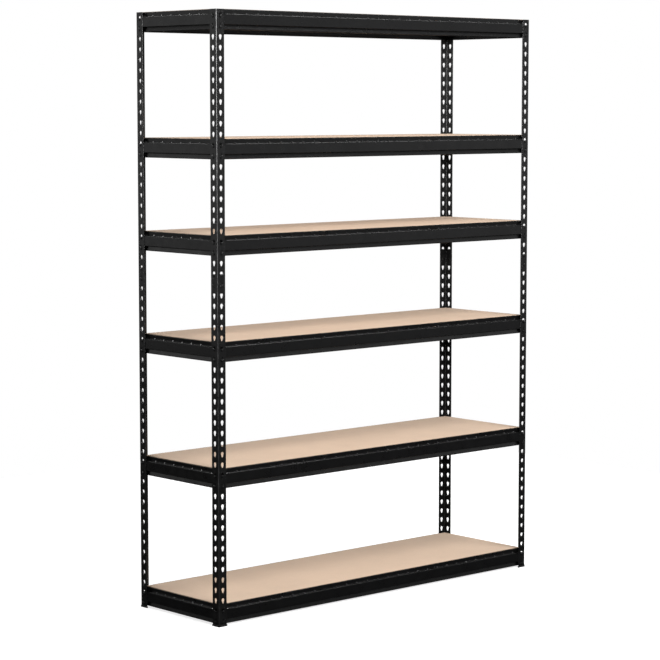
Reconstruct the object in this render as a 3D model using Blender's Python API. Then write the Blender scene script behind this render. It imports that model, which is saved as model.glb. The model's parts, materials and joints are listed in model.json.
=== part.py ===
"""Boltless steel shelving: six tiers of board on riveted beams between four slotted angle posts.

Units are metres, +Z is up, +X is to the right along the shelves and -Y is the front.
The origin is on the floor, at the middle of the footprint.
"""
import math

import bmesh
import bpy
from mathutils import Matrix

# ---- driving dimensions -------------------------------------------------------------------
WIDTH = 1.607                    # over the posts, left to right
DEPTH = 0.460                    # over the posts, front to back
PITCH = 0.038                    # keyhole to keyhole
UPPER_HOLES = 25                 # keyholes in an upper post
LOWER_HOLES = 33                 # keyholes in a lower post
HOLE_BELOW_TOP = 0.57 * PITCH    # first keyhole's middle, below a post's top end
TIER_HOLES = (57, 44, 32, 22, 13, 1)   # keyhole of each tier's upper rivet, counted from the top
GAP = 0.0003                     # left between pieces that touch

# posts: angle section, one keyhole row in each flange
POST_FLANGE = 0.0361
POST_SHEET = 0.0015
HOLE_INSET = 0.0190              # keyhole row from the post's corner
KEYHOLE_TOP = 0.0091             # top of the wide end, above the keyhole's middle
KEYHOLE_SHOULDER = 0.0032        # widest level, above the middle
KEYHOLE_BOTTOM = 0.0098          # narrow end, below the middle
KEYHOLE_CROWN = 0.0032           # half width at the top
KEYHOLE_WIDE = 0.0062            # half width at the shoulder
KEYHOLE_NARROW = 0.0033          # half width at the narrow end

# rivets and splice studs: flared, seated in the narrow ends
RIVET_DROP = 0.0045              # rivet axis below the keyhole's middle
RIVET_SIDES = 6
RIVET_ROOT = 0.0030
RIVET_HEAD = 0.0047
RIVET_PROUD = 0.0019             # head beyond the post's face

# feet: plastic shoes pushed over the posts' lower ends
FOOT_SOLE = 0.0025
FOOT_WALL = 0.0015
FOOT_HEIGHT = 0.0060

# beams: heights are from the middle of the upper rivet's keyhole, depths from the post's face
SHEET = 0.0012
WEB_DEPTH = POST_SHEET + GAP     # outer face of the web
WEB_END = WEB_DEPTH + SHEET + GAP   # web's end from the crossing post's face
WEB_TOP = 0.0046
TAB_TOP = -0.0005                # lower top edge behind the post, below the open keyhole
WEB_BOTTOM = -0.0327
BEAM_BOTTOM = -0.0505
LIP_DEPTH = 0.0128               # outer face of the folded upper lip
LIP_SHEET = 2 * SHEET
LIP_TOP = 0.0209
LIP_CUTBACK = 0.050              # ledge, lip root and shelf support stop this far from the corner
LIP_END = 0.0175                 # the lip's upper strip runs on to here
NOTCH_TOP = 0.0105               # and starts at this height
SHELF_TOP = 0.0132
SHELF_REACH = 0.0290             # inner edge of the support under the board
BAND_DEPTH_TOP = 0.0118          # outer face of the recessed lower band, which leans outwards
BAND_DEPTH_BOTTOM = 0.0088
FOOT_FLANGE_REACH = 0.0210       # inner edge of the beam's bottom flange
OVERLAP = 0.0004                 # how far joined shapes run into each other

# crossbars: inverted channels whose flat tabs pass through the lips and lie on the ledges
CROSSBAR_X = 0.290               # from the middle of the shelf
CROSSBAR_WIDTH = 0.030
CROSSBAR_BOTTOM = -0.0080
TAB_WIDTH = 0.022
TAB_END = 0.0040                 # tab's end from the post's face
SLOT_FLOOR = 0.0043
SLOT_ROOF = 0.0068
SLOT_WIDTH = 0.0232

# boards
BOARD_THICKNESS = 0.009
BOARD_INSET = LIP_DEPTH + LIP_SHEET + 0.001

# splices: angle plates with two studs in each flange, behind the joint of the posts
SPLICE_HEIGHT = 1.8 * PITCH
SPLICE_ABOVE_JOINT = 0.40 * PITCH
SPLICE_FLANGE = 0.0340

POST_FOOT = FOOT_SOLE + GAP      # lower end of the posts
LOWER_LENGTH = LOWER_HOLES * PITCH
UPPER_LENGTH = UPPER_HOLES * PITCH
JOINT_HEIGHT = POST_FOOT + LOWER_LENGTH
POST_TOP = JOINT_HEIGHT + UPPER_LENGTH

CORNERS = {
    "front_left": (-WIDTH / 2, -DEPTH / 2, 0),
    "front_right": (WIDTH / 2, -DEPTH / 2, 90),
    "back_right": (WIDTH / 2, DEPTH / 2, 180),
    "back_left": (-WIDTH / 2, DEPTH / 2, 270),
}

PAINT = {
    "post_steel": ((0.030, 0.030, 0.032), 0.42, 0.0),
    "splice_steel": ((0.026, 0.026, 0.028), 0.45, 0.0),
    "beam_steel": ((0.028, 0.028, 0.030), 0.42, 0.0),
    "crossbar_steel": ((0.026, 0.026, 0.028), 0.48, 0.0),
    "foot_plastic": ((0.016, 0.016, 0.017), 0.60, 0.0),
    "board_mdf": ((0.70, 0.545, 0.405), 0.85, 0.0),
}


def clear_scene():
    for existing in list(bpy.data.objects):
        bpy.data.objects.remove(existing, do_unlink=True)


def new_collection(name):
    collection = bpy.data.collections.new(name)
    bpy.context.scene.collection.children.link(collection)
    return collection


def make_material(name):
    colour, roughness, metallic = PAINT[name]
    material = bpy.data.materials.new(name)
    material.use_nodes = True
    shader = material.node_tree.nodes["Principled BSDF"]
    shader.inputs["Base Color"].default_value = (*colour, 1.0)
    shader.inputs["Roughness"].default_value = roughness
    shader.inputs["Metallic"].default_value = metallic
    material.diffuse_color = (*colour, 1.0)
    return material


def hole_height(count):
    """World height of the middle of a keyhole, counted from the top of the post."""
    return POST_TOP - HOLE_BELOW_TOP - (count - 1) * PITCH


# ---- shapes -------------------------------------------------------------------------------
def prism(outlines, thickness, matrix):
    """Mesh object of flat outlines in XY, extruded evenly about Z, then placed by matrix."""
    curve = bpy.data.curves.new("outline", "CURVE")
    curve.dimensions = "2D"
    curve.fill_mode = "BOTH"
    curve.extrude = thickness / 2
    for outline in outlines:
        spline = curve.splines.new("POLY")
        spline.points.add(len(outline) - 1)
        for point, (x, y) in zip(spline.points, outline):
            point.co = (x, y, 0.0, 1.0)
        spline.use_cyclic_u = True
    guide = bpy.data.objects.new("outline", curve)
    tools.objects.link(guide)
    guide.matrix_world = matrix
    bpy.context.view_layer.update()
    evaluated = guide.evaluated_get(bpy.context.evaluated_depsgraph_get())
    mesh = bpy.data.meshes.new_from_object(evaluated)
    weld = bmesh.new()
    weld.from_mesh(mesh)
    bmesh.ops.remove_doubles(weld, verts=weld.verts, dist=0.00001)
    weld.to_mesh(mesh)
    weld.free()
    solid = bpy.data.objects.new("solid", mesh)
    tools.objects.link(solid)
    solid.matrix_world = guide.matrix_world.copy()
    bpy.data.objects.remove(guide, do_unlink=True)
    return solid


def upright(outlines, low, high):
    """Outlines in plan, extruded from one height to another."""
    return prism(outlines, high - low, Matrix.Translation((0, 0, (low + high) / 2)))


def facing_front(outlines, low, high):
    """Outlines in (x, z), extruded along Y from one depth to another."""
    turn = Matrix.Rotation(math.radians(90), 4, "X")
    return prism(outlines, high - low, Matrix.Translation((0, (low + high) / 2, 0)) @ turn)


def facing_side(outlines, low, high):
    """Outlines in (y, z), extruded along X from one place to another."""
    turn = Matrix.Rotation(math.radians(90), 4, "Z") @ Matrix.Rotation(math.radians(90), 4, "X")
    return prism(outlines, high - low, Matrix.Translation(((low + high) / 2, 0, 0)) @ turn)


def box(low, high):
    bpy.ops.mesh.primitive_cube_add(size=1)
    cube = bpy.context.object
    tools.objects.link(cube)
    for other in [c for c in cube.users_collection if c is not tools]:
        other.objects.unlink(cube)
    size = [h - l for l, h in zip(low, high)]
    middle = [(l + h) / 2 for l, h in zip(low, high)]
    cube.data.transform(Matrix.Translation(middle) @ Matrix.Diagonal((*size, 1)))
    return cube


def rivet(x, height):
    """Flared rivet with its axis along Y, from inside the sheet behind the post to its face."""
    root_depth = WEB_DEPTH + SHEET / 2
    bpy.ops.mesh.primitive_cone_add(
        vertices=RIVET_SIDES,
        radius1=RIVET_ROOT,
        radius2=RIVET_HEAD,
        depth=root_depth + RIVET_PROUD,
    )
    cone = bpy.context.object
    tools.objects.link(cone)
    for other in [c for c in cone.users_collection if c is not tools]:
        other.objects.unlink(cone)
    flat_down = Matrix.Rotation(math.radians(30), 4, "Z")
    lie_down = Matrix.Rotation(math.radians(90), 4, "X")
    middle = Matrix.Translation((x, (root_depth - RIVET_PROUD) / 2, height))
    cone.data.transform(middle @ lie_down @ flat_down)
    return cone


def combine(target, others, operation):
    """Boolean the others into target, one after another, and keep only the result."""
    for other in others:
        other.hide_render = True
        other.display_type = "WIRE"
        modifier = target.modifiers.new("combine", "BOOLEAN")
        modifier.operation = operation
        modifier.solver = "EXACT"
        modifier.object = other
    bpy.context.view_layer.update()
    evaluated = target.evaluated_get(bpy.context.evaluated_depsgraph_get())
    mesh = bpy.data.meshes.new_from_object(evaluated)
    mesh.transform(target.matrix_world)
    target.modifiers.clear()
    for spent in [target, *others]:
        bpy.data.objects.remove(spent, do_unlink=True)
    solid = bpy.data.objects.new("solid", mesh)
    tools.objects.link(solid)
    return solid


def take_mesh(solid, material):
    """The finished mesh of a working solid, painted, ready to be shared by its copies."""
    mesh = solid.data
    mesh.transform(solid.matrix_world)
    mesh.materials.clear()
    mesh.materials.append(material)
    bpy.data.objects.remove(solid, do_unlink=True)
    return mesh


def place(name, mesh, location, turn=0.0):
    piece = bpy.data.objects.new(name, mesh)
    piece.location = location
    piece.rotation_euler = (0, 0, math.radians(turn))
    piece.parent = stand
    parts.objects.link(piece)
    return piece


# ---- posts, splices and feet: the corner is the local origin, flanges run along +X and +Y ----
def angle_outline(low, high, reach):
    """Angle section whose sheet lies between two depths, with flanges out to reach."""
    return [(low, low), (reach, low), (reach, high), (high, high), (high, reach), (low, reach)]


def keyhole(x, height):
    return [
        (x + KEYHOLE_CROWN, height + KEYHOLE_TOP),
        (x - KEYHOLE_CROWN, height + KEYHOLE_TOP),
        (x - KEYHOLE_WIDE, height + KEYHOLE_SHOULDER),
        (x - KEYHOLE_NARROW, height - KEYHOLE_BOTTOM),
        (x + KEYHOLE_NARROW, height - KEYHOLE_BOTTOM),
        (x + KEYHOLE_WIDE, height + KEYHOLE_SHOULDER),
    ]


def post_mesh(holes, length):
    """Slotted angle post standing on its local origin."""
    first = length - HOLE_BELOW_TOP
    row = [keyhole(HOLE_INSET, first - count * PITCH) for count in range(holes)]
    clear = POST_SHEET
    body = upright([angle_outline(0.0, POST_SHEET, POST_FLANGE)], 0.0, length)
    front = facing_front(row, -clear, POST_SHEET + clear)
    side = facing_side(row, -clear, POST_SHEET + clear)
    return take_mesh(combine(body, [front, side], "DIFFERENCE"), materials["post_steel"])


def turned_to_side(solid):
    """Mirror a piece of the front flange onto the side flange, by swapping X and Y."""
    swap = Matrix(((0, 1, 0, 0), (1, 0, 0, 0), (0, 0, 1, 0), (0, 0, 0, 1)))
    solid.data.transform(swap)
    solid.data.flip_normals()
    return solid


def splice_mesh():
    """Angle plate behind the posts' joint, whose height is the local zero."""
    top = SPLICE_ABOVE_JOINT
    plate = upright(
        [angle_outline(WEB_DEPTH, WEB_DEPTH + POST_SHEET, SPLICE_FLANGE)], top - SPLICE_HEIGHT, top
    )
    last_upper = PITCH - HOLE_BELOW_TOP - RIVET_DROP
    first_lower = -HOLE_BELOW_TOP - RIVET_DROP
    studs = [rivet(HOLE_INSET, height) for height in (last_upper, first_lower)]
    studs += [turned_to_side(rivet(HOLE_INSET, height)) for height in (last_upper, first_lower)]
    return take_mesh(combine(plate, studs, "UNION"), materials["splice_steel"])


def foot_mesh():
    """Shoe with a groove that the post's end stands in."""
    outer = -GAP - FOOT_WALL
    inner = POST_SHEET + GAP + FOOT_WALL
    shoe = upright([angle_outline(outer, inner, POST_FLANGE + GAP + FOOT_WALL)], 0.0, FOOT_HEIGHT)
    groove_outline = angle_outline(-GAP, POST_SHEET + GAP, POST_FLANGE + GAP)
    groove = upright([groove_outline], FOOT_SOLE, FOOT_HEIGHT + FOOT_SOLE)
    return take_mesh(combine(shoe, [groove], "DIFFERENCE"), materials["foot_plastic"])


# ---- beams: local X runs along the beam, +Y goes inwards from the post's outer face ----------
def web_outline(half, tab):
    """Web with a lowered, deepened tab behind each post, as (x, z)."""
    right = [
        (tab, WEB_TOP),
        (tab, TAB_TOP),
        (half, TAB_TOP),
        (half, BEAM_BOTTOM),
        (tab, BEAM_BOTTOM),
        (tab, WEB_BOTTOM),
    ]
    return right + [(-x, z) for x, z in reversed(right)]


def lip_outline():
    """Ledge, folded lip and shelf support, as (y, z)."""
    root = WEB_DEPTH + SHEET - OVERLAP
    lip_back = LIP_DEPTH + LIP_SHEET
    return [
        (root, WEB_TOP - SHEET),
        (lip_back, WEB_TOP - SHEET),
        (lip_back, SHELF_TOP - SHEET),
        (SHELF_REACH, SHELF_TOP - SHEET),
        (SHELF_REACH, SHELF_TOP),
        (lip_back, SHELF_TOP),
        (lip_back, LIP_TOP),
        (LIP_DEPTH, LIP_TOP),
        (LIP_DEPTH, WEB_TOP),
        (root, WEB_TOP),
    ]


def strip_outline():
    """Upper strip of the lip, which reaches past the notch at each end, as (y, z)."""
    lip_back = LIP_DEPTH + LIP_SHEET
    return [
        (LIP_DEPTH, NOTCH_TOP),
        (lip_back, NOTCH_TOP),
        (lip_back, LIP_TOP),
        (LIP_DEPTH, LIP_TOP),
    ]


def band_outline():
    """Recessed lower band and bottom flange, as (y, z)."""
    root = WEB_DEPTH + SHEET - OVERLAP
    return [
        (root, WEB_BOTTOM + SHEET),
        (root, WEB_BOTTOM),
        (BAND_DEPTH_TOP, WEB_BOTTOM),
        (BAND_DEPTH_BOTTOM, BEAM_BOTTOM),
        (FOOT_FLANGE_REACH, BEAM_BOTTOM),
        (FOOT_FLANGE_REACH, BEAM_BOTTOM + SHEET),
        (BAND_DEPTH_BOTTOM + SHEET, BEAM_BOTTOM + SHEET),
        (BAND_DEPTH_TOP + SHEET, WEB_BOTTOM + SHEET),
    ]


def beam_mesh(span, slotted):
    """Roll-formed beam for a frame that measures span over its posts."""
    half = span / 2 - WEB_END
    tab = span / 2 - POST_FLANGE
    lip = span / 2 - LIP_CUTBACK
    strip = span / 2 - LIP_END
    beam = facing_front([web_outline(half, tab)], WEB_DEPTH, WEB_DEPTH + SHEET)
    pieces = [
        facing_side([lip_outline()], -lip, lip),
        facing_side([strip_outline()], -strip, strip),
        facing_side([band_outline()], -tab, tab),
    ]
    for side in (-1, 1):
        for height in (-RIVET_DROP, -RIVET_DROP - PITCH):
            pieces.append(rivet(side * (span / 2 - HOLE_INSET), height))
    beam = combine(beam, pieces, "UNION")
    if slotted:
        slots = [
            box(
                (x - SLOT_WIDTH / 2, LIP_DEPTH - OVERLAP, SLOT_FLOOR),
                (x + SLOT_WIDTH / 2, LIP_DEPTH + LIP_SHEET + OVERLAP, SLOT_ROOF),
            )
            for x in (-CROSSBAR_X, CROSSBAR_X)
        ]
        beam = combine(beam, slots, "DIFFERENCE")
    return take_mesh(beam, materials["beam_steel"])


def crossbar_mesh():
    """Inverted channel with a stepped-down tab at each end; local Y runs front to back."""
    end = DEPTH / 2 - TAB_END
    step = DEPTH / 2 - SHELF_REACH - GAP
    tab_floor = WEB_TOP + GAP
    strip = [
        (end, tab_floor),
        (end, tab_floor + SHEET),
        (step, tab_floor + SHEET),
        (step, SHELF_TOP),
    ]
    strip += [(-y, z) for y, z in reversed(strip)]
    under = [(-step + SHEET, SHELF_TOP - SHEET), (step - SHEET, SHELF_TOP - SHEET)]
    strip += [(-step + SHEET, tab_floor), *under, (step - SHEET, tab_floor)]
    bar = facing_side([strip], -TAB_WIDTH / 2, TAB_WIDTH / 2)
    outer = CROSSBAR_WIDTH / 2
    inner = outer - SHEET
    channel = [
        (outer, CROSSBAR_BOTTOM),
        (outer, SHELF_TOP),
        (-outer, SHELF_TOP),
        (-outer, CROSSBAR_BOTTOM),
        (-inner, CROSSBAR_BOTTOM),
        (-inner, SHELF_TOP - SHEET),
        (inner, SHELF_TOP - SHEET),
        (inner, CROSSBAR_BOTTOM),
    ]
    length = step - SHEET
    trough = facing_front([channel], -length, length)
    return take_mesh(combine(bar, [trough], "UNION"), materials["crossbar_steel"])


def board_mesh():
    half_x = WIDTH / 2 - BOARD_INSET
    half_y = DEPTH / 2 - BOARD_INSET
    low = SHELF_TOP + GAP
    board = box((-half_x, -half_y, low), (half_x, half_y, low + BOARD_THICKNESS))
    return take_mesh(board, materials["board_mdf"])


# ---- assembly -----------------------------------------------------------------------------
def build_frame():
    upper = post_mesh(UPPER_HOLES, UPPER_LENGTH)
    lower = post_mesh(LOWER_HOLES, LOWER_LENGTH - GAP)
    splice = splice_mesh()
    foot = foot_mesh()
    for corner, (x, y, turn) in CORNERS.items():
        place(f"post_upper_{corner}", upper, (x, y, JOINT_HEIGHT), turn)
        place(f"post_lower_{corner}", lower, (x, y, POST_FOOT), turn)
        place(f"splice_{corner}", splice, (x, y, JOINT_HEIGHT), turn)
        place(f"foot_{corner}", foot, (x, y, 0), turn)


def build_tiers():
    long_beam = beam_mesh(WIDTH, True)
    short_beam = beam_mesh(DEPTH, False)
    crossbar = crossbar_mesh()
    board = board_mesh()
    for number, hole in enumerate(TIER_HOLES, start=1):
        height = hole_height(hole)
        place(f"tier_{number}_beam_front", long_beam, (0, -DEPTH / 2, height), 0)
        place(f"tier_{number}_beam_back", long_beam, (0, DEPTH / 2, height), 180)
        place(f"tier_{number}_beam_left", short_beam, (-WIDTH / 2, 0, height), -90)
        place(f"tier_{number}_beam_right", short_beam, (WIDTH / 2, 0, height), 90)
        place(f"tier_{number}_crossbar_left", crossbar, (-CROSSBAR_X, 0, height))
        place(f"tier_{number}_crossbar_right", crossbar, (CROSSBAR_X, 0, height))
        place(f"board_{number}", board, (0, 0, height))


clear_scene()
parts = new_collection("boltless_shelving")
tools = new_collection("cutters")
stand = bpy.data.objects.new("shelving_origin", None)
parts.objects.link(stand)
materials = {name: make_material(name) for name in PAINT}
build_frame()
build_tiers()
bpy.context.view_layer.update()
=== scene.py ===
"""Looks of a boltless steel shelving unit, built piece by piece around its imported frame.

Units are metres, +Z is up, +X is to the right along the shelves and -Y is the front.
"""
import json
import math

import bmesh
import bpy
from mathutils import Matrix, Vector

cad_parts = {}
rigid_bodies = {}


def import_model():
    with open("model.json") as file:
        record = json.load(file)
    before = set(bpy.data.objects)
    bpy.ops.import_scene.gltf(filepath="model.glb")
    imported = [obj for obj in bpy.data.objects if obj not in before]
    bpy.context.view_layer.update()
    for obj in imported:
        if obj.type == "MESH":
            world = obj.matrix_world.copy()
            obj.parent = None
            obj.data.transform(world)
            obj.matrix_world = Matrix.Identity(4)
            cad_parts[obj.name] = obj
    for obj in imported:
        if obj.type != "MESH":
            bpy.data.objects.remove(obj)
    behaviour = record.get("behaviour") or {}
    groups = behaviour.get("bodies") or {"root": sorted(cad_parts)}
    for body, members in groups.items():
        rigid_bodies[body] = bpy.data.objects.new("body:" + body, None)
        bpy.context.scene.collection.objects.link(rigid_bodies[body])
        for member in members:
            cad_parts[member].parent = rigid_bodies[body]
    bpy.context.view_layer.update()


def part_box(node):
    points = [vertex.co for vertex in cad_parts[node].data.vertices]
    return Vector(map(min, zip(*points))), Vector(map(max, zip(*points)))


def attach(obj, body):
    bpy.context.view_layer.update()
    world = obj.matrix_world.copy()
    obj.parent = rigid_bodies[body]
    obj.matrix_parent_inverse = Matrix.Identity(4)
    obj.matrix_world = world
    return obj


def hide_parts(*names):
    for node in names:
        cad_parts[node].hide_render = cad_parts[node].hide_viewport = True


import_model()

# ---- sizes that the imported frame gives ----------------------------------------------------
corner_low = Vector(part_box("post_lower_front_left")[0])
corner_high = Vector(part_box("post_upper_back_right")[1])
WIDTH = corner_high.x - corner_low.x
DEPTH = corner_high.y - corner_low.y
POST_FOOT = corner_low.z
POST_TOP = corner_high.z
JOINT_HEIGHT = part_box("post_upper_front_left")[0][2]
POST_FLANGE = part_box("post_lower_front_left")[1][0] - corner_low.x
FOOT_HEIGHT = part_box("foot_front_left")[1][2]
TIERS = range(1, 7)
CORNERS = {
    "front_left": (corner_low.x, corner_low.y, 0),
    "front_right": (corner_high.x, corner_low.y, 90),
    "back_right": (corner_high.x, corner_high.y, 180),
    "back_left": (corner_low.x, corner_high.y, 270),
}

# ---- posts: depths from the outer face, heights from a keyhole's middle --------------------
PITCH = 0.038
HOLE_BELOW_TOP = 0.57 * PITCH
HOLE_INSET = 0.0190
POST_SHEET = 0.0015
POST_BEND = 0.0030               # outer radius of the bend
KEYHOLE_WIDE = 0.0062            # radius of the upper end
KEYHOLE_WIDE_UP = 0.0031         # its centre above the middle
KEYHOLE_NARROW = 0.0033          # radius of the lower end
KEYHOLE_NARROW_UP = -0.0066
KEYHOLE_STEPS = (13, 7)          # segments round the upper end and the lower end
RIM = 0.00025                    # broken edge along every cut
WELD = 0.000005                  # points of a plate this close become one
TOUCH = 0.000002                 # the same for turned shapes and for cuts across a plate
TOLERANCE = 0.000001             # for comparing heights
SHARP_ANGLE = 30.0               # degrees between faces from which an edge is shown sharp

# ---- rivets and splice studs ---------------------------------------------------------------
RIVET_DROP = 0.0045              # axis below the keyhole's middle
RIVET_TURNS = 20
RIVET_TAIL = (                   # radius, and depth behind the sheet
    (0.0, 0.0013),
    (0.0026, 0.0012),
    (0.0040, 0.0008),
    (0.0045, 0.0002),
    (0.0044, -0.0001),
    (0.0036, -0.0002),
)
RIVET_NECK = (                   # radius, and depth behind the post's face
    (0.0036, 0.0000),
    (0.0040, -0.0002),
    (0.0047, -0.0004),
    (0.0050, -0.0006),
)
RIVET_HEAD = 0.0050              # radius
RIVET_DOME_FOOT = 0.0008         # height of the dome's foot over the post's face
RIVET_DOME = 0.0011              # height of the dome itself
RIVET_DOME_STEPS = 6

# ---- splices and shoes ---------------------------------------------------------------------
SPLICE_BEND = 0.0025
SPLICE_NICK = 0.0040             # cut off each corner
SHOE_WALL = 0.0015
SHOE_BEND = 0.0042               # rounding of the outer corner
SHOE_END = 0.0010                # rounding of the flanges' ends
SHOE_INNER = 0.001               # rounding of the inner corner
SHOE_RIM = 0.0005
GROOVE_BEND = 0.0026
GROOVE_END = 0.0003

# ---- beams: depths from the post's face, heights from the upper rivet's keyhole ------------
SHEET = 0.0011
WEB_DEPTH = 0.0018
WEB_END = 0.0033                 # web's end from the crossing post's face
WEB_TOP = 0.0046
WEB_BOTTOM = -0.0327
BEAM_BOTTOM = -0.0505
TAB_TOP = -0.0005                # web's lower top edge behind the post
LIP_DEPTH = 0.0128
LIP_BACK = 0.0152
LIP_TOP = 0.0209
LIP_LEAN = 0.090                 # the lip leans out by this share of its height
LIP_PLAIN = 0.0180               # the plain part of the lip ends here
LIP_FORMED = 0.0125              # and the part with gussets starts here
LIP_CUTBACK = 0.0500
LIP_END = 0.0175
NOTCH_TOP = 0.0105
SHADE_SKIRT_LOW = -0.0060              # the lip's inner leaf reaches down behind the notch; partly real, and partly a dark sheet of painted shade: drawn this low, it hides the lit floor under the shelf that would show through the keyholes
FOLD_BEND = 8                    # point of the lip's folded path that ends its first bend
SHELF_BEND = 0.0008
HEM_BEND = 0.00112
LEDGE_BEND = 0.0009
WEB_BEND = 0.0018
FLANGE_BEND = 0.0026
SHELF_TOP = 0.0132
SHELF_REACH = 0.0290
BAND_TOP_DEPTH = 0.0118
BAND_BOTTOM_DEPTH = 0.0088
FLANGE_REACH = 0.0210
BAND_END = 0.0285                # the recess closes behind the post, from here
BAND_CLOSED = 0.0243             # to here
SLOT_ROOF = 0.0068
SLOT_WIDTH = 0.0232
SLOT_START = LIP_DEPTH - 0.0010  # depth from which a crossbar's slot is open
CROSSBAR_X = 0.290
GUSSET_PITCH = 0.0538
GUSSET_FIRST = -0.7085
SHORT_GUSSET_FIRST = -0.1490
GUSSET_HALF = 0.0046
GUSSET_SIZE = 0.0052
GUSSET_GRID = 0.0014             # longest face across a gusset
GUSSET_COUNT = 28
SHORT_GUSSET_COUNT = 6
GUSSET_CLEARANCE = 0.018         # no gusset this close to a crossbar
PANELS = 8                       # faces along the plain part of a beam
CLOSING_STEPS = 6                # faces along the closing of the recess
WEB_HIGH = WEB_TOP - 0.0024      # flat part of the web, between its two bends
WEB_LOW = WEB_BOTTOM + 0.0024

# ---- crossbars and boards ------------------------------------------------------------------
CROSSBAR_WIDTH = 0.030
CROSSBAR_BOTTOM = -0.0080
CROSSBAR_BEND = 0.0022
CROSSBAR_GAP = 0.0003            # to the beam's shelf
TAB_WIDTH = 0.022
TAB_LENGTH = 0.0090              # lanced out of the crossbar's top
TAB_NOSE = 0.0030                # tapering end
TAB_FLAT = 0.0018                # level stretch before the step down
TAB_STEP_END = 0.0010            # the step down ends this far inside the crossbar's end
TAB_BEND = 0.0015
TAB_PLAY = 0.0004                # over the ledge
BOARD_EDGE = 0.0007


# ---- materials -----------------------------------------------------------------------------
def add_node(tree, kind, inputs=None, **settings):
    """New node, each input linked to a socket or set to a value."""
    node = tree.nodes.new(kind)
    for name, value in settings.items():
        setattr(node, name, value)
    for name, value in (inputs or {}).items():
        if isinstance(value, bpy.types.NodeSocket):
            tree.links.new(value, node.inputs[name])
        else:
            node.inputs[name].default_value = value
    return node


def shifted_coordinates(tree):
    """Object coordinates, moved by a random amount for each piece so that no two match."""
    place = add_node(tree, "ShaderNodeTexCoord")
    piece = add_node(tree, "ShaderNodeObjectInfo")
    shift = add_node(
        tree, "ShaderNodeMath", {0: piece.outputs["Random"], 1: 37.0}, operation="MULTIPLY"
    )
    moved = add_node(
        tree,
        "ShaderNodeVectorMath",
        {0: place.outputs["Object"], 1: shift.outputs["Value"]},
        operation="ADD",
    )
    return moved.outputs["Vector"]


def noise(tree, vector, scale, detail=3.0, roughness=0.5):
    """Fractal noise of about 0.3 to 0.7."""
    texture = add_node(
        tree,
        "ShaderNodeTexNoise",
        {"Vector": vector, "Scale": scale, "Detail": detail, "Roughness": roughness},
    )
    return texture.outputs["Fac"]


def spread(tree, value, low, high):
    """Map the middle of a noise, 0.3 to 0.7, onto low to high."""
    mapped = add_node(
        tree,
        "ShaderNodeMapRange",
        {"Value": value, "From Min": 0.3, "From Max": 0.7, "To Min": low, "To Max": high},
    )
    return mapped.outputs["Result"]


def scaled_colour(tree, colour, factor):
    """Colour times a varying factor."""
    product = add_node(
        tree, "ShaderNodeVectorMath", {0: colour, "Scale": factor}, operation="SCALE"
    )
    return product.outputs["Vector"]


def new_material(name):
    """Material, its node tree and its Principled node."""
    material = bpy.data.materials.new(name)
    material.use_nodes = True
    tree = material.node_tree
    return material, tree, tree.nodes["Principled BSDF"]


def powder_coat(name, colour, rough, peel):
    """Black powder coat: cloudy tone and gloss, over a fine orange peel."""
    material, tree, shader = new_material(name)
    where = shifted_coordinates(tree)
    clouds = noise(tree, where, 9.0, 4.0, 0.6)
    tone = spread(tree, clouds, 0.86, 1.14)
    shader.inputs["Metallic"].default_value = 0.0
    shader.inputs["Specular IOR Level"].default_value = 0.42
    tree.links.new(scaled_colour(tree, colour, tone), shader.inputs["Base Color"])
    patches = noise(tree, where, 28.0, 3.0, 0.55)
    tree.links.new(
        spread(tree, patches, rough - 0.05, rough + 0.05), shader.inputs["Roughness"]
    )
    grain = noise(tree, where, 1150.0, 2.0, 0.45)
    bump = add_node(
        tree, "ShaderNodeBump", {"Height": grain, "Strength": peel, "Distance": 0.00012}
    )
    tree.links.new(bump.outputs["Normal"], shader.inputs["Normal"])
    return material


def moulded_plastic(name, colour):
    """Matt black plastic with a spark-eroded grain."""
    material, tree, shader = new_material(name)
    where = shifted_coordinates(tree)
    tone = spread(tree, noise(tree, where, 60.0), 0.85, 1.15)
    tree.links.new(scaled_colour(tree, colour, tone), shader.inputs["Base Color"])
    shader.inputs["Roughness"].default_value = 0.62
    shader.inputs["Specular IOR Level"].default_value = 0.35
    grain = noise(tree, where, 2200.0, 2.0, 0.6)
    bump = add_node(
        tree, "ShaderNodeBump", {"Height": grain, "Strength": 0.35, "Distance": 0.0001}
    )
    tree.links.new(bump.outputs["Normal"], shader.inputs["Normal"])
    return material


def fibreboard(name, colour, edge_colour):
    """Bare fibreboard: fine speckle and short fibres, with darker sawn edges."""
    material, tree, shader = new_material(name)
    where = shifted_coordinates(tree)
    clouds = spread(tree, noise(tree, where, 5.0, 4.0, 0.6), 0.965, 1.035)
    speckle = spread(tree, noise(tree, where, 420.0, 3.0, 0.7), 0.94, 1.06)
    stretched = add_node(
        tree, "ShaderNodeMapping", {"Vector": where, "Scale": (60.0, 620.0, 620.0)}
    )
    fibres = spread(tree, noise(tree, stretched.outputs["Vector"], 1.0, 3.0, 0.65), 0.97, 1.03)
    tone = add_node(tree, "ShaderNodeMath", {0: clouds, 1: speckle}, operation="MULTIPLY")
    tone = add_node(
        tree, "ShaderNodeMath", {0: tone.outputs["Value"], 1: fibres}, operation="MULTIPLY"
    )
    surface = add_node(tree, "ShaderNodeNewGeometry")
    facing = add_node(tree, "ShaderNodeSeparateXYZ", {"Vector": surface.outputs["True Normal"]})
    lying = add_node(
        tree, "ShaderNodeMath", {0: facing.outputs["Z"]}, operation="ABSOLUTE"
    )
    mixed = add_node(
        tree,
        "ShaderNodeMix",
        {"Factor": lying.outputs["Value"], 6: (*edge_colour, 1.0), 7: (*colour, 1.0)},
        data_type="RGBA",
    )
    painted = scaled_colour(tree, mixed.outputs[2], tone.outputs["Value"])
    tree.links.new(painted, shader.inputs["Base Color"])
    shader.inputs["Specular IOR Level"].default_value = 0.25
    tree.links.new(spread(tree, clouds, 0.70, 0.82), shader.inputs["Roughness"])
    bump = add_node(
        tree,
        "ShaderNodeBump",
        {"Height": tone.outputs["Value"], "Strength": 0.25, "Distance": 0.0002},
    )
    tree.links.new(bump.outputs["Normal"], shader.inputs["Normal"])
    return material


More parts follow.
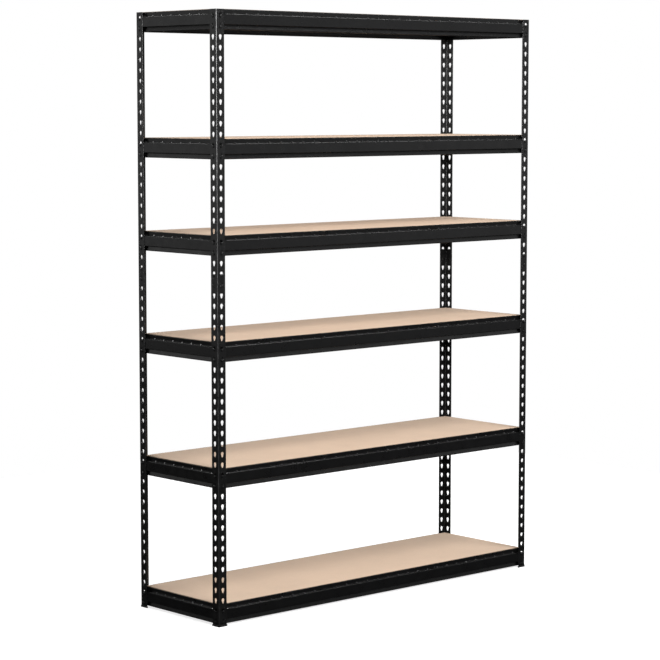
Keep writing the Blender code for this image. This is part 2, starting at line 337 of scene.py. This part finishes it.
# ---- mesh helpers --------------------------------------------------------------------------
def finished(mesh, material):
    """Mesh with its material, smooth but for its sharp edges."""
    mesh.materials.clear()
    mesh.materials.append(material)
    mesh.shade_smooth()
    mesh.set_sharp_from_angle(angle=math.radians(SHARP_ANGLE))
    return mesh


def mesh_from(shape):
    """Mesh of a bmesh, which is freed."""
    mesh = bpy.data.meshes.new("working")
    shape.to_mesh(mesh)
    shape.free()
    return mesh


def evaluated(holder):
    """Mesh of a working object with its modifiers or curve settings applied; the object goes."""
    bpy.context.scene.collection.objects.link(holder)
    bpy.context.view_layer.update()
    seen = holder.evaluated_get(bpy.context.evaluated_depsgraph_get())
    mesh = bpy.data.meshes.new_from_object(seen)
    bpy.data.objects.remove(holder, do_unlink=True)
    return mesh


def plate(outlines, thickness, rim=RIM):
    """Flat plate of outlines in XY about Z = 0, with broken edges, welded, as a bmesh."""
    curve = bpy.data.curves.new("outline", "CURVE")
    curve.dimensions = "2D"
    curve.fill_mode = "BOTH"
    curve.extrude = thickness / 2 - rim
    curve.bevel_depth = rim
    curve.bevel_resolution = 0
    curve.offset = -rim
    for outline in outlines:
        spline = curve.splines.new("POLY")
        spline.points.add(len(outline) - 1)
        for point, (x, y) in zip(spline.points, outline):
            point.co = (x, y, 0.0, 1.0)
        spline.use_cyclic_u = True
    mesh = evaluated(bpy.data.objects.new("outline", curve))
    shape = bmesh.new()
    shape.from_mesh(mesh)
    bmesh.ops.remove_doubles(shape, verts=shape.verts, dist=WELD)
    bmesh.ops.recalc_face_normals(shape, faces=shape.faces)
    return shape


def thickened(shape, thickness):
    """Open surface given a thickness behind its normals."""
    holder = bpy.data.objects.new("sheet", mesh_from(shape))
    solid = holder.modifiers.new("thickness", "SOLIDIFY")
    solid.thickness = thickness
    solid.offset = -1.0
    solid.use_even_offset = True
    return evaluated(holder)


def joined(meshes):
    """One mesh of several."""
    shape = bmesh.new()
    for mesh in meshes:
        shape.from_mesh(mesh)
    return mesh_from(shape)


def bend_points(before, here, after, radius, steps=5, margin=0.00015):
    """Round bend at a corner of a path, with a point just outside each end of it."""
    back = (before - here).normalized()
    ahead = (after - here).normalized()
    half_angle = back.angle(ahead) / 2
    reach = radius / math.tan(half_angle)
    centre = here + (back + ahead).normalized() * radius / math.sin(half_angle)
    arm = here + back * reach - centre
    sweep = arm.angle_signed(here + ahead * reach - centre)
    arc = [
        centre + Matrix.Rotation(-sweep * step / steps, 2) @ arm for step in range(steps + 1)
    ]
    return [arc[0] + back * margin, *arc, arc[-1] + ahead * margin]


def bent_path(corners, radii):
    """Path through corners, rounded at each inner one."""
    corners = [Vector(corner) for corner in corners]
    path = [corners[0]]
    for before, here, after, radius in zip(corners, corners[1:], corners[2:], radii):
        path += bend_points(before, here, after, radius)
    return path + [corners[-1]]


def refined(path, longest):
    """Path with extra points, so that no stretch is longer than the given length."""
    result = [path[0]]
    for start, end in zip(path, path[1:]):
        pieces = max(1, math.ceil((end - start).length / longest - 0.01))
        result += [start.lerp(end, step / pieces) for step in range(1, pieces + 1)]
    return result


class Surface:
    """Open surface of faces that share their corner points."""

    def __init__(self):
        self.shape = bmesh.new()
        self.points = {}

    def point(self, x, y, z):
        key = (round(x, 6), round(y, 6), round(z, 6))
        if key not in self.points:
            self.points[key] = self.shape.verts.new((x, y, z))
        return self.points[key]

    def face(self, corners):
        self.shape.faces.new([self.point(*corner) for corner in corners])

    def grid(self, stations, path, skip=None, shape=None):
        """Quads over stations along X and a path in (y, z), whose right hand side is seen."""
        for left, right in zip(stations, stations[1:]):
            for above, below in zip(path, path[1:]):
                if skip and skip((left + right) / 2, (above + below) / 2):
                    continue
                corners = [(left, above), (left, below), (right, below), (right, above)]
                if shape:
                    corners = [(x, shape(x, spot)) for x, spot in corners]
                self.face([(x, spot[0], spot[1]) for x, spot in corners])


# ---- posts, splices and feet: the corner is the local origin, flanges run along +X and +Y --
def keyhole(x, height):
    """Teardrop of two circles with tangent sides."""
    gap = KEYHOLE_WIDE_UP - KEYHOLE_NARROW_UP
    lean = math.asin((KEYHOLE_WIDE - KEYHOLE_NARROW) / gap)
    outline = []
    ends = (
        (KEYHOLE_WIDE, KEYHOLE_WIDE_UP, -lean, math.pi + lean),
        (KEYHOLE_NARROW, KEYHOLE_NARROW_UP, math.pi + lean, 2 * math.pi - lean),
    )
    for (radius, up, start, end), steps in zip(ends, KEYHOLE_STEPS):
        for step in range(steps + 1):
            angle = start + (end - start) * step / steps
            outline.append(
                (x + radius * math.cos(angle), height + up + radius * math.sin(angle))
            )
    return outline


def bent_angle(shape, sheet, bend, corner):
    """Bend a flat plate in (u, z) into an angle whose outer corner lies at (corner, corner).

    The plate's X is the distance along the outer face from the middle of the bend, and its Y is
    the height. Its thickness lies about Z = 0.
    """
    arc = math.pi * bend / 4
    margin = 0.0003
    steps = 8
    lines = [-arc - margin, arc + margin]
    lines += [-arc + 2 * arc * step / steps for step in range(steps + 1)]
    for line in lines:
        bmesh.ops.bisect_plane(
            shape,
            geom=[*shape.verts, *shape.edges, *shape.faces],
            dist=TOUCH,
            plane_co=(line, 0, 0),
            plane_no=(1, 0, 0),
        )
    for vertex in shape.verts:
        along, height, across = vertex.co
        inward = sheet / 2 - across
        if along >= arc:
            x, y = bend + along - arc, inward
        elif along <= -arc:
            x, y = inward, bend - along - arc
        else:
            turn = (1 - along / arc) * math.pi / 4
            x = bend - (bend - inward) * math.sin(turn)
            y = bend - (bend - inward) * math.cos(turn)
        vertex.co = (x + corner, y + corner, height)
    bmesh.ops.recalc_face_normals(shape, faces=shape.faces)
    return mesh_from(shape)


def flat_place(distance, bend):
    """Distance along the flat pattern of a point that lies that far from the corner."""
    return math.pi * bend / 4 + distance - bend


def post_mesh(length):
    """Slotted angle post standing on its local origin."""
    edge = flat_place(POST_FLANGE, POST_BEND)
    hole = flat_place(HOLE_INSET, POST_BEND)
    outlines = [[(-edge, 0.0), (edge, 0.0), (edge, length), (-edge, length)]]
    count = int((length - HOLE_BELOW_TOP) / PITCH) + 1
    for number in range(count):
        height = length - HOLE_BELOW_TOP - number * PITCH
        outlines += [keyhole(-hole, height), keyhole(hole, height)]
    shape = plate(outlines, POST_SHEET)
    return bent_angle(shape, POST_SHEET, POST_BEND, 0.0)


def turned(profile):
    """Body of revolution about Y of a profile in (radius, y), closed on the axis."""
    shape = bmesh.new()
    spots = [shape.verts.new((radius, y, 0.0)) for radius, y in profile]
    lines = [shape.edges.new(pair) for pair in zip(spots, spots[1:])]
    bmesh.ops.spin(
        shape,
        geom=[*spots, *lines],
        cent=(0, 0, 0),
        axis=(0, 1, 0),
        angle=2 * math.pi,
        steps=RIVET_TURNS,
        use_merge=True,
    )
    bmesh.ops.remove_doubles(shape, verts=shape.verts, dist=TOUCH)
    bmesh.ops.recalc_face_normals(shape, faces=shape.faces)
    return mesh_from(shape)


def rivet_mesh(back):
    """Clinched rivet with its axis along Y: tail, shank, flared neck and low domed head."""
    profile = [(radius, back + depth) for radius, depth in RIVET_TAIL]
    profile += RIVET_NECK
    for step in range(RIVET_DOME_STEPS + 1):
        angle = math.pi / 2 * step / RIVET_DOME_STEPS
        rise = RIVET_DOME_FOOT + RIVET_DOME * math.sin(angle)
        profile.append((RIVET_HEAD * math.cos(angle), -rise))
    return turned(profile)


def placed_copies(mesh, spots):
    """Copies of a mesh, one for each matrix, as a list of meshes."""
    copies = []
    for matrix in spots:
        copy = mesh.copy()
        copy.transform(matrix)
        if matrix.determinant() < 0:
            copy.flip_normals()
        copies.append(copy)
    return copies


def splice_mesh():
    """Angle plate with two studs in each flange; the posts' joint is the local zero."""
    low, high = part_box("splice_front_left")
    edge = flat_place(high[0] - corner_low.x - WEB_DEPTH, SPLICE_BEND)
    bottom = low[2] - JOINT_HEIGHT
    top = high[2] - JOINT_HEIGHT
    nick = SPLICE_NICK
    outline = [(-edge, bottom + nick), (-edge + nick, bottom), (edge - nick, bottom)]
    outline += [(edge, bottom + nick), (edge, top - nick), (edge - nick, top)]
    outline += [(-edge + nick, top), (-edge, top - nick)]
    angle = bent_angle(plate([outline], POST_SHEET), POST_SHEET, SPLICE_BEND, WEB_DEPTH)
    swap = Matrix(((0, 1, 0, 0), (1, 0, 0, 0), (0, 0, 1, 0), (0, 0, 0, 1)))
    spots = []
    for height in (PITCH - HOLE_BELOW_TOP - RIVET_DROP, -HOLE_BELOW_TOP - RIVET_DROP):
        spot = Matrix.Translation((HOLE_INSET, 0, height))
        spots += [spot, swap @ spot]
    studs = placed_copies(rivet_mesh(WEB_DEPTH + POST_SHEET), spots)
    return joined([angle, *studs])


def angle_outline(low, high, reach, outer_round, end_round):
    """L outline in plan with rounded corners, for an angle that lies between two depths."""
    corners = [(low, low), (reach, low), (reach, high), (high, high), (high, reach), (low, reach)]
    radii = [outer_round, end_round, end_round, SHOE_INNER, end_round, end_round]
    spots = [Vector(corner) for corner in corners]
    outline = []
    for number, (here, radius) in enumerate(zip(spots, radii)):
        before = spots[number - 1]
        after = spots[(number + 1) % len(spots)]
        outline += bend_points(before, here, after, radius, steps=4)[1:-1]
    return [tuple(spot) for spot in outline]


def foot_mesh():
    """Shoe with rounded edges and a groove for the post."""
    low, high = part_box("foot_front_left")
    outer = low[0] - corner_low.x
    gap = -outer - SHOE_WALL
    reach = high[0] - corner_low.x
    inner = POST_SHEET + gap + SHOE_WALL
    shoe_outline = angle_outline(outer, inner, reach, SHOE_BEND, SHOE_END)
    shoe = plate([shoe_outline], FOOT_HEIGHT, SHOE_RIM)
    bmesh.ops.translate(shoe, verts=shoe.verts, vec=(0, 0, FOOT_HEIGHT / 2))
    post_inner = POST_SHEET + gap
    post_reach = POST_FLANGE + gap
    groove_outline = angle_outline(-gap, post_inner, post_reach, GROOVE_BEND, GROOVE_END)
    groove = plate([groove_outline], FOOT_HEIGHT, 0.0)
    bmesh.ops.translate(groove, verts=groove.verts, vec=(0, 0, POST_FOOT - gap + FOOT_HEIGHT / 2))
    cutter = bpy.data.objects.new("groove", mesh_from(groove))
    bpy.context.scene.collection.objects.link(cutter)
    holder = bpy.data.objects.new("shoe", mesh_from(shoe))
    cut = holder.modifiers.new("groove", "BOOLEAN")
    cut.operation = "DIFFERENCE"
    cut.solver = "EXACT"
    cut.object = cutter
    mesh = evaluated(holder)
    bpy.data.objects.remove(cutter, do_unlink=True)
    return mesh


# ---- beams: local X runs along the beam, +Y goes inwards from the post's outer face ---------
def gusset_stations(centres):
    """Stations along X across each stiffening gusset."""
    steps = (-1.0, -0.72, -0.4, 0.0, 0.4, 0.72, 1.0)
    return [centre + GUSSET_HALF * step for centre in centres for step in steps]


def gusseted(centres):
    """Shape function that presses a gusset across the corner of ledge and lip at each centre."""
    def shape(x, spot):
        nearest = min(centres, key=lambda centre: abs(centre - x))
        part = 1 - ((x - nearest) / GUSSET_HALF) ** 2
        if part <= 0:
            return spot
        size = GUSSET_SIZE * math.sqrt(part)
        from_corner = LIP_DEPTH - spot[0] + spot[1] - WEB_TOP
        if from_corner >= size:
            return spot
        push = (size - from_corner) / 2
        return Vector((spot[0] - push, spot[1] + push))
    return shape


def leaning(path):
    """Path with everything above the web's top leaned outwards."""
    return [spot - Vector((LIP_LEAN * max(0.0, spot[1] - WEB_TOP), 0)) for spot in path]


def beam_profile():
    """Paths in (y, z), from the board's support down: folded lip, ledge, band, bottom bend."""
    fold = [
        (SHELF_REACH, SHELF_TOP),
        (LIP_BACK, SHELF_TOP),
        (LIP_BACK, LIP_TOP),
        (LIP_DEPTH, LIP_TOP),
        (LIP_DEPTH, LIP_PLAIN),
    ]
    step = [
        (LIP_DEPTH, LIP_FORMED),
        (LIP_DEPTH, WEB_TOP),
        (WEB_DEPTH, WEB_TOP),
        (WEB_DEPTH, WEB_HIGH),
    ]
    band_top = Vector((BAND_TOP_DEPTH, WEB_BOTTOM))
    band_low = Vector((BAND_BOTTOM_DEPTH, BEAM_BOTTOM))
    flange_end = Vector((FLANGE_REACH, BEAM_BOTTOM))
    bottom = bend_points(band_top, band_low, flange_end, FLANGE_BEND) + [flange_end]
    band = [(WEB_DEPTH, WEB_LOW), (WEB_DEPTH, WEB_BOTTOM), band_top, bottom[0]]
    step = bent_path(step, [LEDGE_BEND, WEB_BEND])
    step.insert(1, Vector((LIP_DEPTH, NOTCH_TOP)))
    return (
        leaning(bent_path(fold, [SHELF_BEND, HEM_BEND, HEM_BEND])),
        leaning(refined(step, GUSSET_GRID)),
        bent_path(band, [WEB_BEND, LEDGE_BEND]),
        bottom,
    )


def beam_mesh(span, gussets, crossbars):
    """Roll-formed beam for a frame that measures span over its posts."""
    cut = span / 2 - LIP_CUTBACK
    flange = span / 2 - POST_FLANGE
    fold, step, band, bottom = beam_profile()
    slots = [x + side * SLOT_WIDTH / 2 for x in crossbars for side in (-1, 1)]
    coarse = [cut * (2 * number / PANELS - 1) for number in range(PANELS + 1)]
    fine = sorted({round(x, 6) for x in [*coarse, *slots, *gusset_stations(gussets)]})
    coarse = [round(x, 6) for x in coarse]
    surface = Surface()

    def inside_slot(x, spot):
        low_enough = spot[1] < SLOT_ROOF and spot[0] > SLOT_START
        return low_enough and any(abs(x - bar) < SLOT_WIDTH / 2 for bar in crossbars)

    surface.grid(coarse, fold)
    surface.grid(fine, step, skip=inside_slot, shape=gusseted(gussets))
    for left, right in zip(coarse, coarse[1:]):
        between = [x for x in fine if left <= x <= right]
        lip = [(x, *step[0]) for x in between]
        surface.face([(right, *fold[-1]), (left, *fold[-1]), *lip])
        web = [(x, WEB_DEPTH, WEB_HIGH) for x in reversed(between)]
        surface.face([*web, (left, WEB_DEPTH, WEB_LOW), (right, WEB_DEPTH, WEB_LOW)])

    open_end = span / 2 - BAND_END
    closed = span / 2 - BAND_CLOSED
    half = span / 2 - WEB_END
    flat = [WEB_LOW + (BEAM_BOTTOM - WEB_LOW) * n / (len(band) - 1) for n in range(len(band))]

    def closing(x, spot):
        """Band pressed out flat into the web's plane towards the end."""
        part = min(1.0, max(0.0, (abs(x) - open_end) / (closed - open_end)))
        ease = part * part * (3 - 2 * part)
        height = flat[min(range(len(band)), key=lambda n: (band[n] - spot).length)]
        return spot.lerp(Vector((WEB_DEPTH, height)), ease)

    along = [-open_end, *coarse, open_end]
    surface.grid(along, band)
    surface.grid(along, bottom)
    steps = range(CLOSING_STEPS + 1)
    turn = [open_end + (closed - open_end) * n / CLOSING_STEPS for n in steps]
    surface.grid(turn, band, shape=closing)
    surface.grid([-x for x in reversed(turn)], band, shape=closing)
    strip_end = span / 2 - LIP_END
    upper = [spot for spot in step if spot[1] > NOTCH_TOP - TOLERANCE]
    # The inner leaf runs down to the skirt's low end: a dark sheet of painted shade behind the
    # notch and the keyholes, as well as the leaf itself.
    strip = [Vector((LIP_BACK, SHADE_SKIRT_LOW)), *fold[FOLD_BEND:], *upper]
    for side in (-1, 1):
        ends = sorted((side * cut, side * strip_end))
        surface.grid(ends, strip)
        rows = [(side * x, WEB_DEPTH, WEB_LOW) for x in reversed(turn)]
        plate_rim = [
            (side * cut, WEB_DEPTH, WEB_LOW),
            (side * cut, WEB_DEPTH, WEB_HIGH),
            (side * cut, WEB_DEPTH, WEB_TOP),
            (side * flange, WEB_DEPTH, WEB_TOP),
            (side * flange, WEB_DEPTH, TAB_TOP),
            (side * half, WEB_DEPTH, TAB_TOP),
            (side * half, WEB_DEPTH, BEAM_BOTTOM),
            *[(side * closed, WEB_DEPTH, z) for z in reversed(flat)],
            *rows[1:],
        ]
        surface.face(plate_rim if side < 0 else list(reversed(plate_rim)))
    sheet = thickened(surface.shape, SHEET)
    spots = [
        Matrix.Translation((side * (span / 2 - HOLE_INSET), 0, -RIVET_DROP - level * PITCH))
        for side in (-1, 1)
        for level in (0, 1)
    ]
    return joined([sheet, *placed_copies(rivet_mesh(WEB_DEPTH + SHEET), spots)])


# ---- crossbars: local X runs along the bar, Z is up from the tier's height ------------------
def crossbar_mesh():
    """Inverted channel, its top lanced at each end and stepped down into a tab."""
    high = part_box("tier_1_crossbar_left")[1]
    end = high[1]
    body = DEPTH / 2 - SHELF_REACH - CROSSBAR_GAP
    lance = body - TAB_LENGTH
    side = CROSSBAR_WIDTH / 2
    half_tab = TAB_WIDTH / 2
    corners = [
        (side, CROSSBAR_BOTTOM),
        (side, SHELF_TOP),
        (-side, SHELF_TOP),
        (-side, CROSSBAR_BOTTOM),
    ]
    path = bent_path(corners, [CROSSBAR_BEND, CROSSBAR_BEND])
    split = len(path) // 2
    path[split:split] = [Vector((half_tab, SHELF_TOP)), Vector((-half_tab, SHELF_TOP))]
    surface = Surface()

    def lanced(x, spot):
        return abs(x) > lance and abs(spot[0]) < half_tab

    stations = [-body, -lance, -lance / 2, 0.0, lance / 2, lance, body]
    surface.grid(stations, path, skip=lanced)
    tab_top = WEB_TOP + TAB_PLAY + SHEET
    tab = [
        (lance, SHELF_TOP),
        (lance + TAB_FLAT, SHELF_TOP),
        (body - TAB_STEP_END, tab_top),
    ]
    tab = bent_path([*tab, (end, tab_top)], [TAB_BEND, TAB_BEND])
    tab.insert(-1, Vector((end - TAB_NOSE, tab_top)))
    widths = [half_tab] * (len(tab) - 1) + [half_tab - TAB_NOSE]
    for turn in (-1, 1):
        rows = [
            [(turn * spot[0], turn * -width, spot[1]), (turn * spot[0], turn * width, spot[1])]
            for spot, width in zip(tab, widths)
        ]
        for near, far in zip(rows, rows[1:]):
            surface.face([near[0], far[0], far[1], near[1]])
    return thickened(surface.shape, SHEET)


def board_mesh():
    """Sheet of fibreboard with eased edges; its local origin is at the tier's height."""
    low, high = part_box("board_1")
    shape = bmesh.new()
    bmesh.ops.create_cube(shape, size=1.0)
    size = high - low
    middle = (low + high) / 2 - Vector((0, 0, tier_height(1)))
    bmesh.ops.scale(shape, verts=shape.verts, vec=size)
    bmesh.ops.translate(shape, verts=shape.verts, vec=middle)
    bmesh.ops.bevel(
        shape,
        geom=shape.edges[:],
        offset=BOARD_EDGE,
        segments=2,
        profile=0.5,
        affect="EDGES",
    )
    return mesh_from(shape)


# ---- assembly ------------------------------------------------------------------------------
def tier_height(number):
    """Height of the keyholes that hold a tier's upper rivets."""
    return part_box(f"tier_{number}_beam_front")[1][2] - LIP_TOP


def show(node, mesh, place, turn, body):
    """Object of a mesh, turned about Z by degrees, that stands for a node and rides on its body."""
    piece = bpy.data.objects.new(f"{node}_detail", mesh)
    piece.location = place
    piece.rotation_euler = (0, 0, math.radians(turn))
    bpy.context.scene.collection.objects.link(piece)
    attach(piece, body)
    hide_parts(node)


def build_frame(paint, plastic):
    """Posts, splices and shoes at the four corners."""
    upper = finished(post_mesh(POST_TOP - JOINT_HEIGHT), paint)
    lower_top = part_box("post_lower_front_left")[1][2]
    lower = finished(post_mesh(lower_top - POST_FOOT), paint)
    splice = finished(splice_mesh(), paint)
    foot = finished(foot_mesh(), plastic)
    for corner, (x, y, turn) in CORNERS.items():
        show(f"post_upper_{corner}", upper, (x, y, JOINT_HEIGHT), turn, "frame")
        show(f"post_lower_{corner}", lower, (x, y, POST_FOOT), turn, "frame")
        show(f"splice_{corner}", splice, (x, y, JOINT_HEIGHT), turn, "frame")
        show(f"foot_{corner}", foot, (x, y, 0), turn, "frame")


def build_tiers(paint, fibre):
    """Four beams, two crossbars and a board for each tier."""
    bars = [-CROSSBAR_X, CROSSBAR_X]
    row = [GUSSET_FIRST + GUSSET_PITCH * number for number in range(GUSSET_COUNT)]
    long_gussets = [x for x in row if min(abs(x - bar) for bar in bars) > GUSSET_CLEARANCE]
    short_gussets = [
        SHORT_GUSSET_FIRST + GUSSET_PITCH * number for number in range(SHORT_GUSSET_COUNT)
    ]
    long_beam = finished(beam_mesh(WIDTH, long_gussets, bars), paint)
    short_beam = finished(beam_mesh(DEPTH, short_gussets, []), paint)
    crossbar = finished(crossbar_mesh(), paint)
    board = finished(board_mesh(), fibre)
    for number in TIERS:
        z = tier_height(number)
        tier = f"tier_{number}"
        for name, mesh, x, y, turn in (
            ("beam_front", long_beam, 0, -DEPTH / 2, 0),
            ("beam_back", long_beam, 0, DEPTH / 2, 180),
            ("beam_left", short_beam, -WIDTH / 2, 0, -90),
            ("beam_right", short_beam, WIDTH / 2, 0, 90),
        ):
            show(f"{tier}_{name}", mesh, (x, y, z), turn, tier)
        for name, x in (("crossbar_left", -CROSSBAR_X), ("crossbar_right", CROSSBAR_X)):
            show(f"{tier}_{name}", crossbar, (x, 0, z), 90, tier)
        show(f"board_{number}", board, (0, 0, z), 0, f"board_{number}")


paint = powder_coat("black_powder_coat", (0.0045, 0.0045, 0.0047), rough=0.31, peel=0.30)
plastic = moulded_plastic("black_plastic", (0.0130, 0.0130, 0.0135))
fibre = fibreboard("fibreboard", (0.67, 0.51, 0.385), edge_colour=(0.40, 0.30, 0.21))
build_frame(paint, plastic)
build_tiers(paint, fibre)


# ---- floor, backdrop, lights and camera ----------------------------------------------------
FLOOR_HALF = 3.0
BACKDROP_RADIUS = 14.0


def stage_object(name, mesh, material):
    """Backdrop or floor that the camera sees and that lights nothing."""
    piece = bpy.data.objects.new(name, mesh)
    mesh.materials.append(material)
    bpy.context.scene.collection.objects.link(piece)
    piece.visible_glossy = False
    piece.visible_diffuse = False
    piece.visible_shadow = False


def floor_mesh(half):
    """Square floor about the origin."""
    shape = bmesh.new()
    corners = [(-half, -half, 0.0), (half, -half, 0.0), (half, half, 0.0), (-half, half, 0.0)]
    shape.faces.new([shape.verts.new(corner) for corner in corners])
    return mesh_from(shape)


def dome_mesh(radius):
    """Sphere that is seen from inside."""
    shape = bmesh.new()
    bmesh.ops.create_uvsphere(shape, u_segments=48, v_segments=24, radius=radius)
    bmesh.ops.reverse_faces(shape, faces=shape.faces)
    return mesh_from(shape)


def glowing(name, colour, strength):
    """Plain emission."""
    material = bpy.data.materials.new(name)
    material.use_nodes = True
    tree = material.node_tree
    tree.nodes.clear()
    light = add_node(
        tree, "ShaderNodeEmission", {"Color": (*colour, 1.0), "Strength": strength}
    )
    add_node(tree, "ShaderNodeOutputMaterial", {"Surface": light.outputs["Emission"]})
    return material


def softbox(name, place, target, size, power, glossy=True, diffuse=True):
    """Area light that faces a target and lights only what it is told to."""
    light = bpy.data.lights.new(name, "AREA")
    light.shape = "RECTANGLE"
    light.size, light.size_y = size
    light.energy = power
    lamp = bpy.data.objects.new(name, light)
    lamp.location = place
    away = Vector(place) - Vector(target)
    lamp.rotation_euler = away.to_track_quat("Z", "Y").to_euler()
    lamp.visible_camera = False
    lamp.visible_glossy = glossy
    lamp.visible_diffuse = diffuse
    bpy.context.scene.collection.objects.link(lamp)
    return lamp


def lights_only(lamp, pieces):
    """Keep a light off every piece but these."""
    group = bpy.data.collections.new(f"{lamp.name}_pieces")
    for piece in pieces:
        group.objects.link(piece)
    lamp.light_linking.receiver_collection = group


floor_paint, _, floor_shader = new_material("pale_floor")
floor_shader.inputs["Base Color"].default_value = (0.55, 0.55, 0.55, 1.0)
floor_shader.inputs["Roughness"].default_value = 0.9
floor_shader.inputs["Specular IOR Level"].default_value = 0.0
floor_shader.inputs["Emission Color"].default_value = (1.0, 1.0, 1.0, 1.0)
floor_shader.inputs["Emission Strength"].default_value = 0.75
stage_object("floor", floor_mesh(FLOOR_HALF), floor_paint)
white = glowing("backdrop_white", (1.0, 1.0, 1.0), 1.0)
stage_object("backdrop", dome_mesh(BACKDROP_RADIUS), white)

world = bpy.data.worlds.new("studio")
world.use_nodes = True
sky = world.node_tree
sky.nodes.clear()
heading = add_node(sky, "ShaderNodeTexCoord")
parts = add_node(sky, "ShaderNodeSeparateXYZ", {"Vector": heading.outputs["Generated"]})
rise = add_node(
    sky,
    "ShaderNodeMapRange",
    {
        "Value": parts.outputs["Z"],
        "From Min": -0.10,
        "From Max": 0.14,
        "To Min": 0.03,
        "To Max": 0.44,
    },
)
glow = add_node(sky, "ShaderNodeBackground", {"Strength": rise.outputs["Result"]})
add_node(sky, "ShaderNodeOutputWorld", {"Surface": glow.outputs["Background"]})
bpy.context.scene.world = world

key = softbox(
    "key_strip", (-4.6, -5.1, 2.50), (0, 0, 2.0), size=(8.0, 1.1), power=1240, diffuse=False
)
# The strip gives the posts their bright bend. In a beam's slanted band it would mirror as white.
frame_pieces = [
    piece for piece in bpy.data.objects if piece.name.startswith(("post", "splice"))
]
lights_only(key, frame_pieces)
softbox("left_strip", (-4.6, 4.3, 1.8), (-0.8, 0, 1.5), size=(2.6, 2.6), power=11, diffuse=False)
softbox("right_strip", (4.6, -5.1, 1.5), (0, 0, 1.5), size=(5.0, 1.7), power=12, diffuse=False)
softbox("left_top", (-2.7, 2.6, 5.4), (-0.8, 0, 1.6), size=(2.4, 1.0), power=200, diffuse=False)
softbox("right_top", (3.0, -2.8, 5.4), (0, -0.2, 1.6), size=(3.0, 1.0), power=150, diffuse=False)
softbox("overhead", (0.2, 0.0, 4.6), (0, 0, 1.0), size=(3.4, 2.4), power=22)
softbox("front_fill", (0.2, -4.0, 4.2), (0, 0, 1.0), size=(4.5, 3.6), power=324, glossy=False)
softbox("back_fill", (-0.8, 4.2, 4.3), (0, 0, 1.0), size=(4.0, 2.4), power=110, glossy=False)

view = bpy.data.cameras.new("camera")
view.lens = 123.4
view.sensor_width = 36.0
camera = bpy.data.objects.new("camera", view)
camera.location = (-5.873, -6.421, 1.877)
camera.rotation_euler = (math.radians(90 - 5.726), 0, math.radians(-42.17))
bpy.context.scene.collection.objects.link(camera)
bpy.context.scene.camera = camera
bpy.context.scene.view_settings.view_transform = "Standard"
